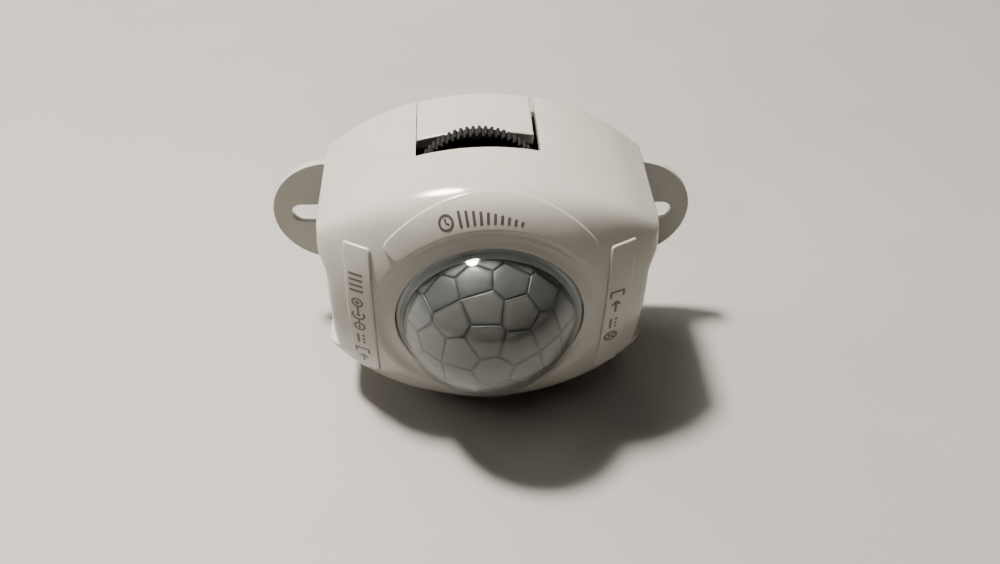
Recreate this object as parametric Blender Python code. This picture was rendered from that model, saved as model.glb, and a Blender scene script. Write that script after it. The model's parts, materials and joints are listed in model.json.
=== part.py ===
"""Motion sensor switch for low-voltage light strips, built as separate sub-parts.

The sensor stands on its curved bottom rim with the lens facing -Y. The origin is the centre of the
flat rear face, on the lens axis: X is to the right seen from the front, Y runs to the rear, Z is up.
All sizes below are millimetres; new_object() turns them into Blender's metres.
"""
import math

import bmesh
import bpy

METRES = 0.001

# Housing, seen from the front: straight sides, and a shallow arc at the top and at the bottom.
HALF_WIDTH = 21.7
ARC_RADIUS = 31.4
ARC_CENTRE = 12.1           # how far each arc's centre lies beyond the lens axis
WALL = 1.6
ARC_STEPS = 14
WAIST_DEPTH = 1.0           # recess in each side
WAIST_TOP = 0.78            # its upper end, as a share of the corner height
WAIST_CURVE_END = 0.42      # where it reaches its full depth
WAIST_SHELF = -0.88         # the shelf at its lower end
SHELF_RISE = 0.5            # the shelf slopes down and outwards by this much
WAIST_STEPS = 4

# Housing, seen from the side: a flat disc around the lens, then a rounded face that runs into
# the sides. The face lies FACE_SLOPE * d + FACE_CURVE * d * d behind the disc, d beyond its edge.
LENS_PLANE = -22.6          # Y of the lens's seat
FACE_PLANE = -22.8          # Y of the flat disc
DISC_RADIUS = 14.9
FACE_SLOPE = 0.33
FACE_CURVE = 0.03
FACE_RADII = (30.0, 26.5, 24.7, 23.4, 22.2, 21.0, 19.6, 18.0, 16.4, 14.9)
ARC_BLEND = 13              # how sharply the face turns into the arcs
SIDE_BLEND = 45             # how sharply it turns into the straight sides
FRONT_WALL = 1.8

GAP = 0.3                   # clearance between pieces that touch
COVER_THICKNESS = 1.6

# Mounting ears on the rear cover.
EAR_THICKNESS = 1.2
EAR_CENTRE = 21.3
EAR_RADIUS = 8.85
EAR_SLOT_WIDTH = 3.0
EAR_SLOT_INNER = 22.0
EAR_SLOT_CENTRE = 26.1

# Opening at the top for the time wheel, and the cover's tongue that closes its rear part.
NOTCH_LEFT = -9.1
NOTCH_RIGHT = 6.3
NOTCH_FRONT = -12.1
TONGUE_LEFT = -8.8
TONGUE_RIGHT = 5.7
TONGUE_FRONT = -8.8

# Lens.
LENS_HOLE_RADIUS = 12.1
DOME_RADIUS = 11.7
DOME_HEIGHT = 9.5
LENS_WALL = 0.7
LENS_NECK_RADIUS = 11.8
LENS_FLANGE_RADIUS = 13.3
LENS_FLANGE_FRONT = -20.7
LENS_FLANGE_REAR = -19.9

# Time wheel: a knurled disc on a small rotary potentiometer.
WHEEL_X = -1.2
WHEEL_Z = 12.3
WHEEL_FRONT = -10.8
WHEEL_REAR = -9.1
WHEEL_TIP_RADIUS = 8.2
WHEEL_ROOT_RADIUS = 7.8
WHEEL_TEETH = 64
WHEEL_BORE = 1.6
POTENTIOMETER_RADIUS = 4.4
RIVET_RADIUS = 1.2
RIVET_HEAD_RADIUS = 2.4

# Circuit board.
BOARD_FRONT = -15.6
BOARD_REAR = -14.0
BOARD_INSET = 2.3

# Screws that hold the rear cover to bosses in the front housing.
BOSS_X = 15.4
BOSS_Z = 9.5
BOSS_RADIUS = 2.3
BOSS_FRONT = -19.9
SCREW_RADIUS = 1.0
SCREW_HEAD_RADIUS = 1.9
SCREW_HEAD_DEPTH = 1.1
SCREW_LENGTH = 8.0

# Power sockets, one on each side. The input is on the left, the output on the right.
JACK_OUTER = 20.2
JACK_INNER = 6.8
JACK_HALF_HEIGHT = 4.5
JACK_REAR = -2.9
JACK_AXIS = -7.6
JACK_BORE_RADIUS = 3.2
JACK_BORE_DEPTH = 9.8
JACK_PIN_RADIUS = 1.0

WHITE_ABS = ((0.82, 0.81, 0.79, 1.0), 0.28, 0.0)
BLACK_NYLON = ((0.02, 0.02, 0.022, 1.0), 0.5, 0.0)
LENS_POLYTHENE = ((0.78, 0.81, 0.82, 1.0), 0.25, 0.0)
BOARD_GREEN = ((0.03, 0.16, 0.07, 1.0), 0.4, 0.0)
PLATED_STEEL = ((0.62, 0.62, 0.60, 1.0), 0.25, 1.0)
TINNED_BRASS = ((0.72, 0.66, 0.50, 1.0), 0.3, 1.0)
EPOXY_BLACK = ((0.03, 0.03, 0.03, 1.0), 0.45, 0.0)
CERAMIC_TAN = ((0.45, 0.33, 0.2, 1.0), 0.5, 0.0)
FILTER_GLASS = ((0.05, 0.05, 0.07, 1.0), 0.1, 0.0)


# ---------------------------------------------------------------- mesh helpers

def material(name, finish):
    """Give back a Principled material made from a (colour, roughness, metallic) triple."""
    found = bpy.data.materials.get(name)
    if found:
        return found
    made = bpy.data.materials.new(name)
    made.use_nodes = True
    shader = made.node_tree.nodes["Principled BSDF"]
    colour, roughness, metallic = finish
    shader.inputs["Base Color"].default_value = colour
    shader.inputs["Roughness"].default_value = roughness
    shader.inputs["Metallic"].default_value = metallic
    return made


def new_object(name, mesh_data, location=(0.0, 0.0, 0.0)):
    """Turn a bmesh in millimetres into an object in metres, with its faces pointing out."""
    bmesh.ops.recalc_face_normals(mesh_data, faces=mesh_data.faces)
    bmesh.ops.scale(mesh_data, vec=(METRES, METRES, METRES), verts=mesh_data.verts)
    mesh = bpy.data.meshes.new(name)
    mesh_data.to_mesh(mesh)
    mesh_data.free()
    made = bpy.data.objects.new(name, mesh)
    made.location = [value * METRES for value in location]
    bpy.context.scene.collection.objects.link(made)
    return made


def loft(name, rings, location=(0.0, 0.0, 0.0)):
    """Join rings of equal length into a solid that is capped at its first and last ring."""
    mesh_data = bmesh.new()
    rows = [[mesh_data.verts.new(point) for point in ring] for ring in rings]
    for row, following in zip(rows, rows[1:]):
        for index, vert in enumerate(row):
            after = (index + 1) % len(row)
            mesh_data.faces.new((vert, row[after], following[after], following[index]))
    mesh_data.faces.new(rows[0])
    mesh_data.faces.new(rows[-1])
    return new_object(name, mesh_data, location)


def to_axis(axis, along, first, second):
    """Place a cross-section point at a distance along X, Y or Z."""
    if axis == "X":
        return (along, first, second)
    if axis == "Y":
        return (first, along, second)
    return (first, second, along)


def prism(name, outline, start, end, axis="Y", location=(0.0, 0.0, 0.0)):
    """Extrude a flat outline along an axis."""
    rings = [[to_axis(axis, along, *point) for point in outline] for along in (start, end)]
    return loft(name, rings, location)


def block(name, low, high):
    """A box between two corners, with its origin at its centre."""
    half = [(b - a) / 2 for a, b in zip(low, high)]
    centre = [(a + b) / 2 for a, b in zip(low, high)]
    outline = [(-half[0], -half[2]), (half[0], -half[2]), (half[0], half[2]), (-half[0], half[2])]
    return prism(name, outline, -half[1], half[1], "Y", centre)


def circle(radius, steps, centre=(0.0, 0.0)):
    """Points of a circle around a centre."""
    turns = (2 * math.pi * index / steps for index in range(steps))
    return [(centre[0] + radius * math.cos(turn), centre[1] + radius * math.sin(turn)) for turn in turns]


def rod(name, radius, start, end, axis="Y", steps=20, location=(0.0, 0.0, 0.0)):
    """A plain cylinder."""
    return prism(name, circle(radius, steps), start, end, axis, location)


def turned(name, profile, axis="Y", steps=40, location=(0.0, 0.0, 0.0)):
    """Turn a closed (radius, along) profile around an axis; radius 0 closes on the axis."""
    mesh_data = bmesh.new()
    columns = []
    for radius, along in profile:
        if radius == 0:
            columns.append([mesh_data.verts.new(to_axis(axis, along, 0.0, 0.0))])
        else:
            ring = circle(radius, steps)
            columns.append([mesh_data.verts.new(to_axis(axis, along, *point)) for point in ring])
    for column, following in zip(columns, columns[1:] + columns[:1]):
        if len(column) == 1 and len(following) == 1:
            continue
        for index in range(steps):
            after = (index + 1) % steps
            corners = [column[index % len(column)], column[after % len(column)],
                       following[after % len(following)], following[index % len(following)]]
            mesh_data.faces.new(list(dict.fromkeys(corners)))
    return new_object(name, mesh_data, location)


def combine(target, tool, operation):
    """Apply an exact Boolean to the target and remove the tool."""
    modifier = target.modifiers.new("Boolean", "BOOLEAN")
    modifier.operation = operation
    modifier.solver = "EXACT"
    modifier.object = tool
    bpy.context.view_layer.update()
    evaluated = target.evaluated_get(bpy.context.evaluated_depsgraph_get())
    mesh = bpy.data.meshes.new_from_object(evaluated)
    target.modifiers.clear()
    target.data = mesh
    bpy.data.objects.remove(tool)


def cut(target, *tools):
    for tool in tools:
        combine(target, tool, "DIFFERENCE")


def fuse(target, *tools):
    for tool in tools:
        combine(target, tool, "UNION")


def finish(part, name, look, smooth_angle=30):
    """Name the part, give it its material and shade its round faces smooth."""
    part.name = name
    part.data.name = name
    part.data.materials.clear()
    part.data.materials.append(material(name, look))
    part.data.shade_smooth()
    part.data.set_sharp_from_angle(angle=math.radians(smooth_angle))
    return part


# ---------------------------------------------------------------- housing outline

def corner_height(inset):
    """Height of the corner where the straight side meets the arc, for an outline moved inwards."""
    radius = ARC_RADIUS - inset
    half = HALF_WIDTH - inset
    return math.sqrt(radius * radius - half * half) - ARC_CENTRE


def body_outline(inset, waist_depth=WAIST_DEPTH, shelf=True):
    """Front outline of the housing, moved inwards by an inset, with a recess in each side.

    The recess ends below in a shelf; without it the sides run straight down to the lower arc.
    """
    half = HALF_WIDTH - inset
    radius = ARC_RADIUS - inset
    corner = corner_height(inset)
    reach = math.asin(half / radius)
    turns = [reach * (2 * index / ARC_STEPS - 1) for index in range(ARC_STEPS + 1)]
    top = [(-radius * math.sin(turn), radius * math.cos(turn) - ARC_CENTRE) for turn in turns]
    left = []
    for index in range(WAIST_STEPS + 1):
        share = index / WAIST_STEPS
        ease = (1 - math.cos(math.pi * share)) / 2
        height = WAIST_TOP + (WAIST_CURVE_END - WAIST_TOP) * share
        left.append((-half + waist_depth * ease, corner * height))
    left.append((-half + waist_depth, corner * WAIST_SHELF + SHELF_RISE))
    limit = half
    if shelf:
        left.append((-half, corner * WAIST_SHELF))
    else:
        limit = half - waist_depth
    bottom = [(max(-limit, min(limit, x)), -z) for x, z in reversed(top)]
    right = [(-x, z) for x, z in reversed(left)]
    return top + left + bottom + right


def face_depth(radius):
    """How far the rounded face lies behind the flat disc, at a radius from the lens axis."""
    beyond = radius - DISC_RADIUS
    return FACE_SLOPE * beyond + FACE_CURVE * beyond * beyond


def blend_to_circle(point, radius):
    """Pull an outline point towards a circle around the lens axis, with a soft corner."""
    x, z = point
    reach = math.hypot(x, z)
    blend = ARC_BLEND + (SIDE_BLEND - ARC_BLEND) * (x / reach) ** 4
    share = (1 + (reach / radius) ** blend) ** (-1 / blend)
    return (x * share, z * share)


def shell_rings(wall, rear, front):
    """Rings of the housing's outer skin, or of its cavity when wall is the wall thickness."""
    outline = body_outline(wall, shelf=wall == 0)
    rings = [[(x, rear, z) for x, z in outline]]
    for radius in FACE_RADII:
        blended = [blend_to_circle(point, radius - wall / 2) for point in outline]
        rings.append([(x, front + face_depth(radius), z) for x, z in blended])
    return rings


def arc_surface(x):
    """Height of the housing's top arc above a given X."""
    return math.sqrt(ARC_RADIUS * ARC_RADIUS - x * x) - ARC_CENTRE


# ---------------------------------------------------------------- housing

def screw_places():
    """The four screw positions, with the names that the screws take."""
    for side, sign_x in (("left", -1), ("right", 1)):
        for level, sign_z in (("upper", 1), ("lower", -1)):
            yield level + "_" + side, sign_x * BOSS_X, sign_z * BOSS_Z


def front_housing():
    """Cup-shaped shell that carries the lens, with bosses for the cover's screws."""
    shell = loft("shell", shell_rings(0.0, 0.0, FACE_PLANE))
    cut(shell, loft("cavity", shell_rings(WALL, 1.0, FACE_PLANE + FRONT_WALL)))
    cut(shell, rod("lens hole", LENS_HOLE_RADIUS, FACE_PLANE - 1, -19.0, steps=64))
    for _, x, z in screw_places():
        fuse(shell, rod("boss", BOSS_RADIUS, BOSS_FRONT, -COVER_THICKNESS - GAP, steps=16, location=(x, 0, z)))
        hole = rod("pilot", SCREW_RADIUS + GAP, -10.5, 0.0, steps=12, location=(x, 0, z))
        cut(shell, hole)
    cut(shell, block("notch", (NOTCH_LEFT, NOTCH_FRONT, 10.0), (NOTCH_RIGHT, 1.0, 21.0)))
    for sign in (-1, 1):
        low_x, high_x = sorted((sign * 17.0, sign * 24.0))
        half = JACK_HALF_HEIGHT + GAP
        cut(shell, block("jack gap", (low_x, BOARD_REAR, -half), (high_x, 1.0, half)))
        reach = EAR_RADIUS + GAP
        cut(shell, block("ear gap", (low_x, -EAR_THICKNESS - GAP, -reach), (high_x, 1.0, reach)))
    return finish(shell, "front_housing", WHITE_ABS)


def ear_outline(sign):
    """Half-round ear, drawn from its root inside the cover to its rounded end."""
    steps = 20
    turns = [math.pi / 2 - math.pi * index / steps for index in range(steps + 1)]
    arc = [(EAR_CENTRE + EAR_RADIUS * math.cos(turn), EAR_RADIUS * math.sin(turn)) for turn in turns]
    root = HALF_WIDTH - WALL - 3.0
    points = [(root, EAR_RADIUS)] + arc + [(root, -EAR_RADIUS)]
    return [(sign * x, z) for x, z in points]


def slot_outline(sign):
    """Screw slot: straight from beside the housing, with a round outer end."""
    steps = 10
    radius = EAR_SLOT_WIDTH / 2
    turns = [math.pi / 2 - math.pi * index / steps for index in range(steps + 1)]
    arc = [(EAR_SLOT_CENTRE + radius * math.cos(turn), radius * math.sin(turn)) for turn in turns]
    points = [(EAR_SLOT_INNER, radius)] + arc + [(EAR_SLOT_INNER, -radius)]
    return [(sign * x, z) for x, z in points]


def tongue_outline(thickness):
    """Strip of the housing's top arc that fills the notch behind the wheel."""
    steps = 6
    span = TONGUE_RIGHT - TONGUE_LEFT
    outer = [TONGUE_LEFT + span * index / steps for index in range(steps + 1)]
    over = [(x, arc_surface(x)) for x in outer]
    under = [(x, arc_surface(x) - thickness) for x in reversed(outer)]
    return over + under


def rear_cover():
    """Flat cover with two mounting ears, the tongue behind the wheel and a tab under each socket."""
    plate_outline = body_outline(WALL + GAP, shelf=False)
    cover = prism("plate", plate_outline, -COVER_THICKNESS, 0.0)
    for sign in (-1, 1):
        fuse(cover, prism("ear", ear_outline(sign), -EAR_THICKNESS, 0.0))
        cut(cover, prism("slot", slot_outline(sign), -3.0, 1.0))
        low_x, high_x = sorted((sign * 17.5, sign * (HALF_WIDTH - WAIST_DEPTH)))
        half = JACK_HALF_HEIGHT
        fuse(cover, block("tab", (low_x, JACK_REAR + GAP, -half), (high_x, 0.0, half)))
    fuse(cover, prism("tongue", tongue_outline(WALL), TONGUE_FRONT, 0.0))
    web_top = arc_surface(TONGUE_LEFT) - 0.4
    fuse(cover, block("web", (TONGUE_LEFT, -COVER_THICKNESS, 12.0), (TONGUE_RIGHT, 0.0, web_top)))
    head = SCREW_HEAD_RADIUS + GAP
    for _, x, z in screw_places():
        profile = [(0, 1.0), (head, 1.0), (head, -SCREW_HEAD_DEPTH), (0, -SCREW_HEAD_DEPTH)]
        cut(cover, turned("head pocket", profile, steps=16, location=(x, 0, z)))
        cut(cover, rod("hole", SCREW_RADIUS + GAP, -3.0, 1.0, steps=12, location=(x, 0, z)))
    return finish(cover, "rear_cover", WHITE_ABS)


def cover_screw(name, x, z):
    """Pan-head screw, drawn as a turned profile with a cross-shaped recess."""
    head_rear = -0.2
    head_front = -SCREW_HEAD_DEPTH + GAP
    tip = head_front - SCREW_LENGTH
    profile = [(0, head_rear), (SCREW_HEAD_RADIUS - 0.5, head_rear), (SCREW_HEAD_RADIUS, -0.5),
               (SCREW_HEAD_RADIUS, head_front), (SCREW_RADIUS, head_front),
               (SCREW_RADIUS, tip + 1.0), (0, tip)]
    screw = turned("screw", profile, steps=16, location=(x, 0, z))
    for width, height in ((2.0, 0.5), (0.5, 2.0)):
        low = (x - width / 2, -0.55, z - height / 2)
        high = (x + width / 2, 0.5, z + height / 2)
        cut(screw, block("recess", low, high))
    return finish(screw, name, PLATED_STEEL)


# ---------------------------------------------------------------- lens and sensor

def fresnel_lens():
    """Domed shell with a short neck and a flange that the housing clamps."""
    steps = 9
    sphere = (DOME_RADIUS ** 2 + DOME_HEIGHT ** 2) / (2 * DOME_HEIGHT)
    base = LENS_PLANE - 0.1
    centre = base - DOME_HEIGHT + sphere
    reach = math.acos((centre - base) / sphere)
    inner = sphere - LENS_WALL
    inner_reach = math.acos((centre - base) / inner)
    outside = [(sphere * math.sin(reach * index / steps), centre - sphere * math.cos(reach * index / steps))
               for index in range(steps + 1)]
    inside = [(inner * math.sin(inner_reach * index / steps),
               centre - inner * math.cos(inner_reach * index / steps)) for index in range(steps + 1)]
    flange = [(LENS_NECK_RADIUS, base), (LENS_NECK_RADIUS, LENS_FLANGE_FRONT),
              (LENS_FLANGE_RADIUS, LENS_FLANGE_FRONT), (LENS_FLANGE_RADIUS, LENS_FLANGE_REAR),
              (DOME_RADIUS - LENS_WALL, LENS_FLANGE_REAR)]
    outside[0] = (0, outside[0][1])
    inside[0] = (0, inside[0][1])
    profile = outside + flange + list(reversed(inside))
    return finish(turned("lens", profile, steps=48), "fresnel_lens", LENS_POLYTHENE)


def lens_retainer():
    """Tube that stands on the circuit board, presses the lens forward and keeps stray light out."""
    front = LENS_FLANGE_REAR + GAP
    rear = BOARD_FRONT - GAP
    profile = [(11.4, front), (13.2, front), (13.2, rear), (11.4, rear)]
    return finish(turned("tube", profile, steps=40), "lens_retainer", BLACK_NYLON)


def pir_sensor():
    """Infrared element: a header on three leads, a metal can over it and a filter window."""
    header_rear = BOARD_FRONT - 0.8
    header = rod("header", 4.6, header_rear - 0.6, header_rear, steps=32)
    for x, z in ((-1.8, -1.8), (1.8, -1.8), (1.8, 1.8)):
        fuse(header, rod("lead", 0.23, header_rear - 0.3, BOARD_FRONT - GAP, steps=8, location=(x, 0, z)))
    finish(header, "pir_header", PLATED_STEEL)

    rear = header_rear - 0.6 - GAP
    front = -21.2
    profile = [(4.1, rear), (4.1, front), (0, front), (0, front + 0.4), (3.7, front + 0.4), (3.7, rear)]
    can = turned("can", profile, steps=32)
    cut(can, block("opening", (-2.0, front - 1.0, -1.5), (2.0, front + 1.0, 1.5)))
    finish(can, "pir_can", PLATED_STEEL)

    window_front = front + 0.4 + GAP
    window = block("window", (-2.4, window_front, -1.9), (2.4, window_front + 0.5, 1.9))
    finish(window, "pir_window", FILTER_GLASS)


# ---------------------------------------------------------------- time wheel

def time_wheel():
    """Knurled disc; its origin lies on its axle so that it turns about Y."""
    count = 2 * WHEEL_TEETH
    outline = []
    for index in range(count):
        turn = 2 * math.pi * index / count
        radius = WHEEL_TIP_RADIUS if index % 2 == 0 else WHEEL_ROOT_RADIUS
        outline.append((radius * math.sin(turn), radius * math.cos(turn)))
    middle = (WHEEL_FRONT + WHEEL_REAR) / 2
    half = (WHEEL_REAR - WHEEL_FRONT) / 2
    wheel = prism("wheel", outline, -half, half, "Y", (WHEEL_X, middle, WHEEL_Z))
    cut(wheel, rod("bore", WHEEL_BORE, -3.0, 3.0, steps=20, location=(WHEEL_X, middle, WHEEL_Z)))
    return finish(wheel, "time_wheel", BLACK_NYLON, 60)


def potentiometer():
    """Flat body behind the board that the wheel turns on, and the rivet that is its axle."""
    front = BOARD_REAR + GAP
    rear = WHEEL_FRONT - GAP
    body = rod("body", POTENTIOMETER_RADIUS, front, rear, steps=28, location=(WHEEL_X, 0, WHEEL_Z))
    half = POTENTIOMETER_RADIUS + 0.6
    foot = block("foot", (WHEEL_X - half, front, 6.2), (WHEEL_X + half, rear - 0.6, 10.6))
    fuse(body, foot)
    cut(body, rod("hole", WHEEL_BORE, -15.0, -9.0, steps=20, location=(WHEEL_X, 0, WHEEL_Z)))
    finish(body, "potentiometer_body", EPOXY_BLACK)

    head = WHEEL_REAR + GAP
    profile = [(0, front + 0.1), (RIVET_RADIUS, front + 0.1), (RIVET_RADIUS, head),
               (RIVET_HEAD_RADIUS, head), (RIVET_HEAD_RADIUS, head + 0.4),
               (RIVET_HEAD_RADIUS - 0.6, head + 0.8), (0, head + 0.8)]
    rivet = turned("rivet", profile, steps=20, location=(WHEEL_X, 0, WHEEL_Z))
    finish(rivet, "wheel_rivet", PLATED_STEEL)


# ---------------------------------------------------------------- power sockets

def power_socket(name, sign):
    """Barrel socket for a 5.5 mm plug: body, centre pin and spring contact."""
    low_x, high_x = sorted((sign * JACK_INNER, sign * JACK_OUTER))
    half = JACK_HALF_HEIGHT
    body = block("body", (low_x, BOARD_REAR + GAP, -half), (high_x, JACK_REAR, half))
    bottom = JACK_OUTER - JACK_BORE_DEPTH
    centre = (0, JACK_AXIS, 0)
    cut(body, rod("bore", JACK_BORE_RADIUS, sign * bottom, sign * (JACK_OUTER + 1), "X", 32, centre))
    hole_start = sign * (JACK_INNER - 1)
    cut(body, rod("pin hole", JACK_PIN_RADIUS + GAP, hole_start, sign * (bottom + 1), "X", 16, centre))
    low_x, high_x = sorted((sign * (bottom - 1.5), sign * (JACK_OUTER - 2.6)))
    cut(body, block("spring gap", (low_x, -15.0, -1.6), (high_x, JACK_AXIS - 1.7, 1.6)))
    finish(body, name + "_jack_body", EPOXY_BLACK)

    pin_tip = JACK_OUTER - 1.0
    steps = 14
    profile = [(0, JACK_INNER + 0.4), (JACK_PIN_RADIUS, JACK_INNER + 0.4), (JACK_PIN_RADIUS, pin_tip - 0.6),
               (JACK_PIN_RADIUS - 0.4, pin_tip), (0, pin_tip)]
    profile = [(radius, sign * along) for radius, along in profile]
    pin = turned("pin", profile, "X", steps, (0, JACK_AXIS, 0))
    finish(pin, name + "_jack_pin", TINNED_BRASS)

    front = BOARD_REAR + GAP
    seat = JACK_AXIS - JACK_BORE_RADIUS
    over = [(bottom - 1.1, front), (bottom - 1.1, seat - 0.5), (bottom + 3.0, seat + 0.3),
            (JACK_OUTER - 3.0, seat - 0.8)]
    thickness = 0.35
    under = [(JACK_OUTER - 3.0, seat - 0.8 - thickness), (bottom + 3.0, seat + 0.3 - thickness),
             (bottom - 1.1 + thickness, seat - 0.5 - thickness), (bottom - 1.1 + thickness, front)]
    outline = [(sign * x, y) for x, y in over + under]
    spring = prism("spring", outline, -1.2, 1.2, "Z")
    finish(spring, name + "_jack_spring", TINNED_BRASS)


# ---------------------------------------------------------------- electronics

def circuit_board():
    """Board that follows the housing, notched around the four screw bosses."""
    board = prism("board", body_outline(BOARD_INSET, shelf=False), BOARD_FRONT, BOARD_REAR)
    for _, x, z in screw_places():
        notch = rod("notch", BOSS_RADIUS + 0.5, -17.0, -13.0, steps=16, location=(x, 0, z))
        cut(board, notch)
        side = 1 if x > 0 else -1
        low_x, high_x = sorted((x, side * 24.0))
        reach = BOSS_RADIUS + 0.5
        cut(board, block("notch side", (low_x, -17.0, z - reach), (high_x, -13.0, z + reach)))
    return finish(board, "circuit_board", BOARD_GREEN)


def board_block(name, centre, size, height, look, front_side=False):
    """A component standing on the rear or the front of the board."""
    x, z = centre
    if front_side:
        start, end = BOARD_FRONT - GAP - height, BOARD_FRONT - GAP
    else:
        start, end = BOARD_REAR + GAP, BOARD_REAR + GAP + height
    low = (x - size[0] / 2, start, z - size[1] / 2)
    high = (x + size[0] / 2, end, z + size[1] / 2)
    return finish(block(name, low, high), name, look)


def control_chip():
    """Sixteen-lead chip: a body with a comb of leads along its two long sides."""
    x, z = 0.0, -8.2
    rear = BOARD_FRONT - GAP
    chip = block("chip", (x - 3.6, rear - 1.5, z - 1.9), (x + 3.6, rear - 0.2, z + 1.9))
    for index in range(6):
        lead_x = x - 2.75 + 1.1 * index
        low, high = (lead_x - 0.2, rear - 0.6, z - 2.8), (lead_x + 0.2, rear, z + 2.8)
        fuse(chip, block("lead", low, high))
    return finish(chip, "control_chip", EPOXY_BLACK)


def power_transistor():
    """Output transistor: a moulded body with a metal tab and two legs."""
    x, z = -5.6, -10.6
    front = BOARD_REAR + GAP
    part = block("transistor", (x - 3.3, front, z - 3.0), (x + 3.3, front + 2.3, z + 3.0))
    fuse(part, block("tab", (x - 2.6, front, z - 4.0), (x + 2.6, front + 0.5, z - 2.0)))
    for offset in (-2.3, 2.3):
        low, high = (x + offset - 0.4, front, z + 2.0), (x + offset + 0.4, front + 0.5, z + 4.4)
        fuse(part, block("leg", low, high))
    return finish(part, "power_transistor", EPOXY_BLACK)


def filter_capacitor():
    """Round electrolytic capacitor standing on the rear of the board."""
    front = BOARD_REAR + GAP
    profile = [(0, front), (2.5, front), (2.5, front + 0.8), (2.3, front + 1.1), (2.5, front + 1.4),
               (2.5, front + 6.7), (2.2, front + 7.0), (0, front + 7.0)]
    part = turned("capacitor", profile, steps=24, location=(5.6, 0, -10.8))
    return finish(part, "filter_capacitor", PLATED_STEEL)


def small_components():
    """Regulator, diode and the small chip components, on both sides of the board."""
    board_block("voltage_regulator", (0.2, -14.4), (4.5, 2.6), 1.5, EPOXY_BLACK)
    board_block("protection_diode", (11.2, -9.0), (2.6, 4.4), 2.1, EPOXY_BLACK)
    board_block("timing_capacitor", (0.0, -6.5), (3.2, 1.6), 1.2, CERAMIC_TAN)
    board_block("gain_resistor", (-6.8, 4.2), (1.3, 2.0), 0.6, EPOXY_BLACK, True)
    board_block("timing_resistor", (6.8, 4.2), (1.3, 2.0), 0.6, EPOXY_BLACK, True)
    board_block("gate_resistor", (-7.6, -2.4), (1.3, 2.0), 0.6, EPOXY_BLACK, True)
    board_block("signal_capacitor", (7.6, -2.4), (1.3, 2.0), 0.9, CERAMIC_TAN, True)


def main():
    for item in list(bpy.data.objects):
        bpy.data.objects.remove(item)
    front_housing()
    rear_cover()
    for place, x, z in screw_places():
        cover_screw("cover_screw_" + place, x, z)
    fresnel_lens()
    lens_retainer()
    pir_sensor()
    time_wheel()
    potentiometer()
    power_socket("input", -1)
    power_socket("output", 1)
    circuit_board()
    control_chip()
    power_transistor()
    filter_capacitor()
    small_components()


main()
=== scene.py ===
"""Looks of the motion sensor switch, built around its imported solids.

Lengths are millimetres in the row frame, and build_mesh() turns them into Blender's metres. The lens
looks along -Y, +Y is the rear mounting face and +Z is up.
"""

import json
import math

import bmesh
import bpy
import numpy as np
from mathutils import Matrix, Vector


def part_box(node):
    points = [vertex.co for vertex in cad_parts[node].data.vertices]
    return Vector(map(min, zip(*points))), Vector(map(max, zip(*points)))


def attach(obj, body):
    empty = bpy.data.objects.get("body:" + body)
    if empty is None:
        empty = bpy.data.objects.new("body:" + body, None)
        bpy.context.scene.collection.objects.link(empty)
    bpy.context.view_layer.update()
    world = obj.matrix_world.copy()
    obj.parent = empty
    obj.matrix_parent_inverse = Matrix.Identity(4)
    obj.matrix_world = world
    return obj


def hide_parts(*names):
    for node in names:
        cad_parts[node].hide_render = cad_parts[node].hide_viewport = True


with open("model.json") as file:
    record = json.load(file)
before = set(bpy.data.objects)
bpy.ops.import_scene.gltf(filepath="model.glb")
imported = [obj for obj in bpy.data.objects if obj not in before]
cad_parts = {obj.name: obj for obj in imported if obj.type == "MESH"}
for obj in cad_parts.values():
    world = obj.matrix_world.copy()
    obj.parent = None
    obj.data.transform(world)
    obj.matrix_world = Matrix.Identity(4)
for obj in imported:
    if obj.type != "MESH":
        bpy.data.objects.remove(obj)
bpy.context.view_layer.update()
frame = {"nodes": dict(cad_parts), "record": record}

MM = 0.001


def box(node):
    """Lowest and highest corner of a CAD node, in millimetres."""
    low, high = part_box(node)
    return np.array(low) / MM, np.array(high) / MM


HOUSING_LOW, HOUSING_HIGH = box("front_housing")
COVER_LOW, COVER_HIGH = box("rear_cover")
LENS_LOW, LENS_HIGH = box("fresnel_lens")
WHEEL_LOW, WHEEL_HIGH = box("time_wheel")
WHEEL_CENTRE = (WHEEL_LOW + WHEEL_HIGH) / 2

# Housing outline: straight sides, and a shallow arc at the top and at the bottom.
HALF_WIDTH = HOUSING_HIGH[0]
TOP = HOUSING_HIGH[2]
FACE = HOUSING_LOW[1]
ARC_RADIUS = 31.4
ARC_CENTRE = ARC_RADIUS - TOP
CORNER_HEIGHT = math.sqrt(ARC_RADIUS ** 2 - HALF_WIDTH ** 2) - ARC_CENTRE
CORNER_SHARPNESS = 260
WALL = 1.6
WAIST_DEPTH = 1.0
WAIST_TOP = 0.78 * CORNER_HEIGHT
WAIST_FULL = 0.42 * CORNER_HEIGHT
WAIST_SHELF = -0.88 * CORNER_HEIGHT
SHELF_RISE = 0.5

# Housing face: a flat disc around the lens, then a rounded shoulder.
DISC_RADIUS = 14.9
DISC_BLEND = 0.35
DISC_DISH = 0.28
FACE_SLOPE = 0.33
FACE_CURVE = 0.03
ARC_BLEND = 10
SIDE_BLEND = 45
FRONT_WALL = 1.8
LENS_HOLE = 12.1
SIDE_FRONT = -17.0          # the sides' rows end here and the face's rings begin
CAVITY_FLAT = 12.0          # the cavity's arc keeps the outer one's stations up to here from the middle
CAVITY_LEVEL = 9.2          # and its side up to here

# Openings in the housing.
NOTCH_LEFT = -9.1
NOTCH_RIGHT = 6.3
NOTCH_FRONT = -12.1
JACK_GAP_HALF = 4.8
JACK_GAP_FRONT = -14.0
EAR_GAP_HALF = 9.15
EAR_GAP_FRONT = -1.5

EDGE_ROUND = 0.16           # radius on the moulded edges

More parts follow.
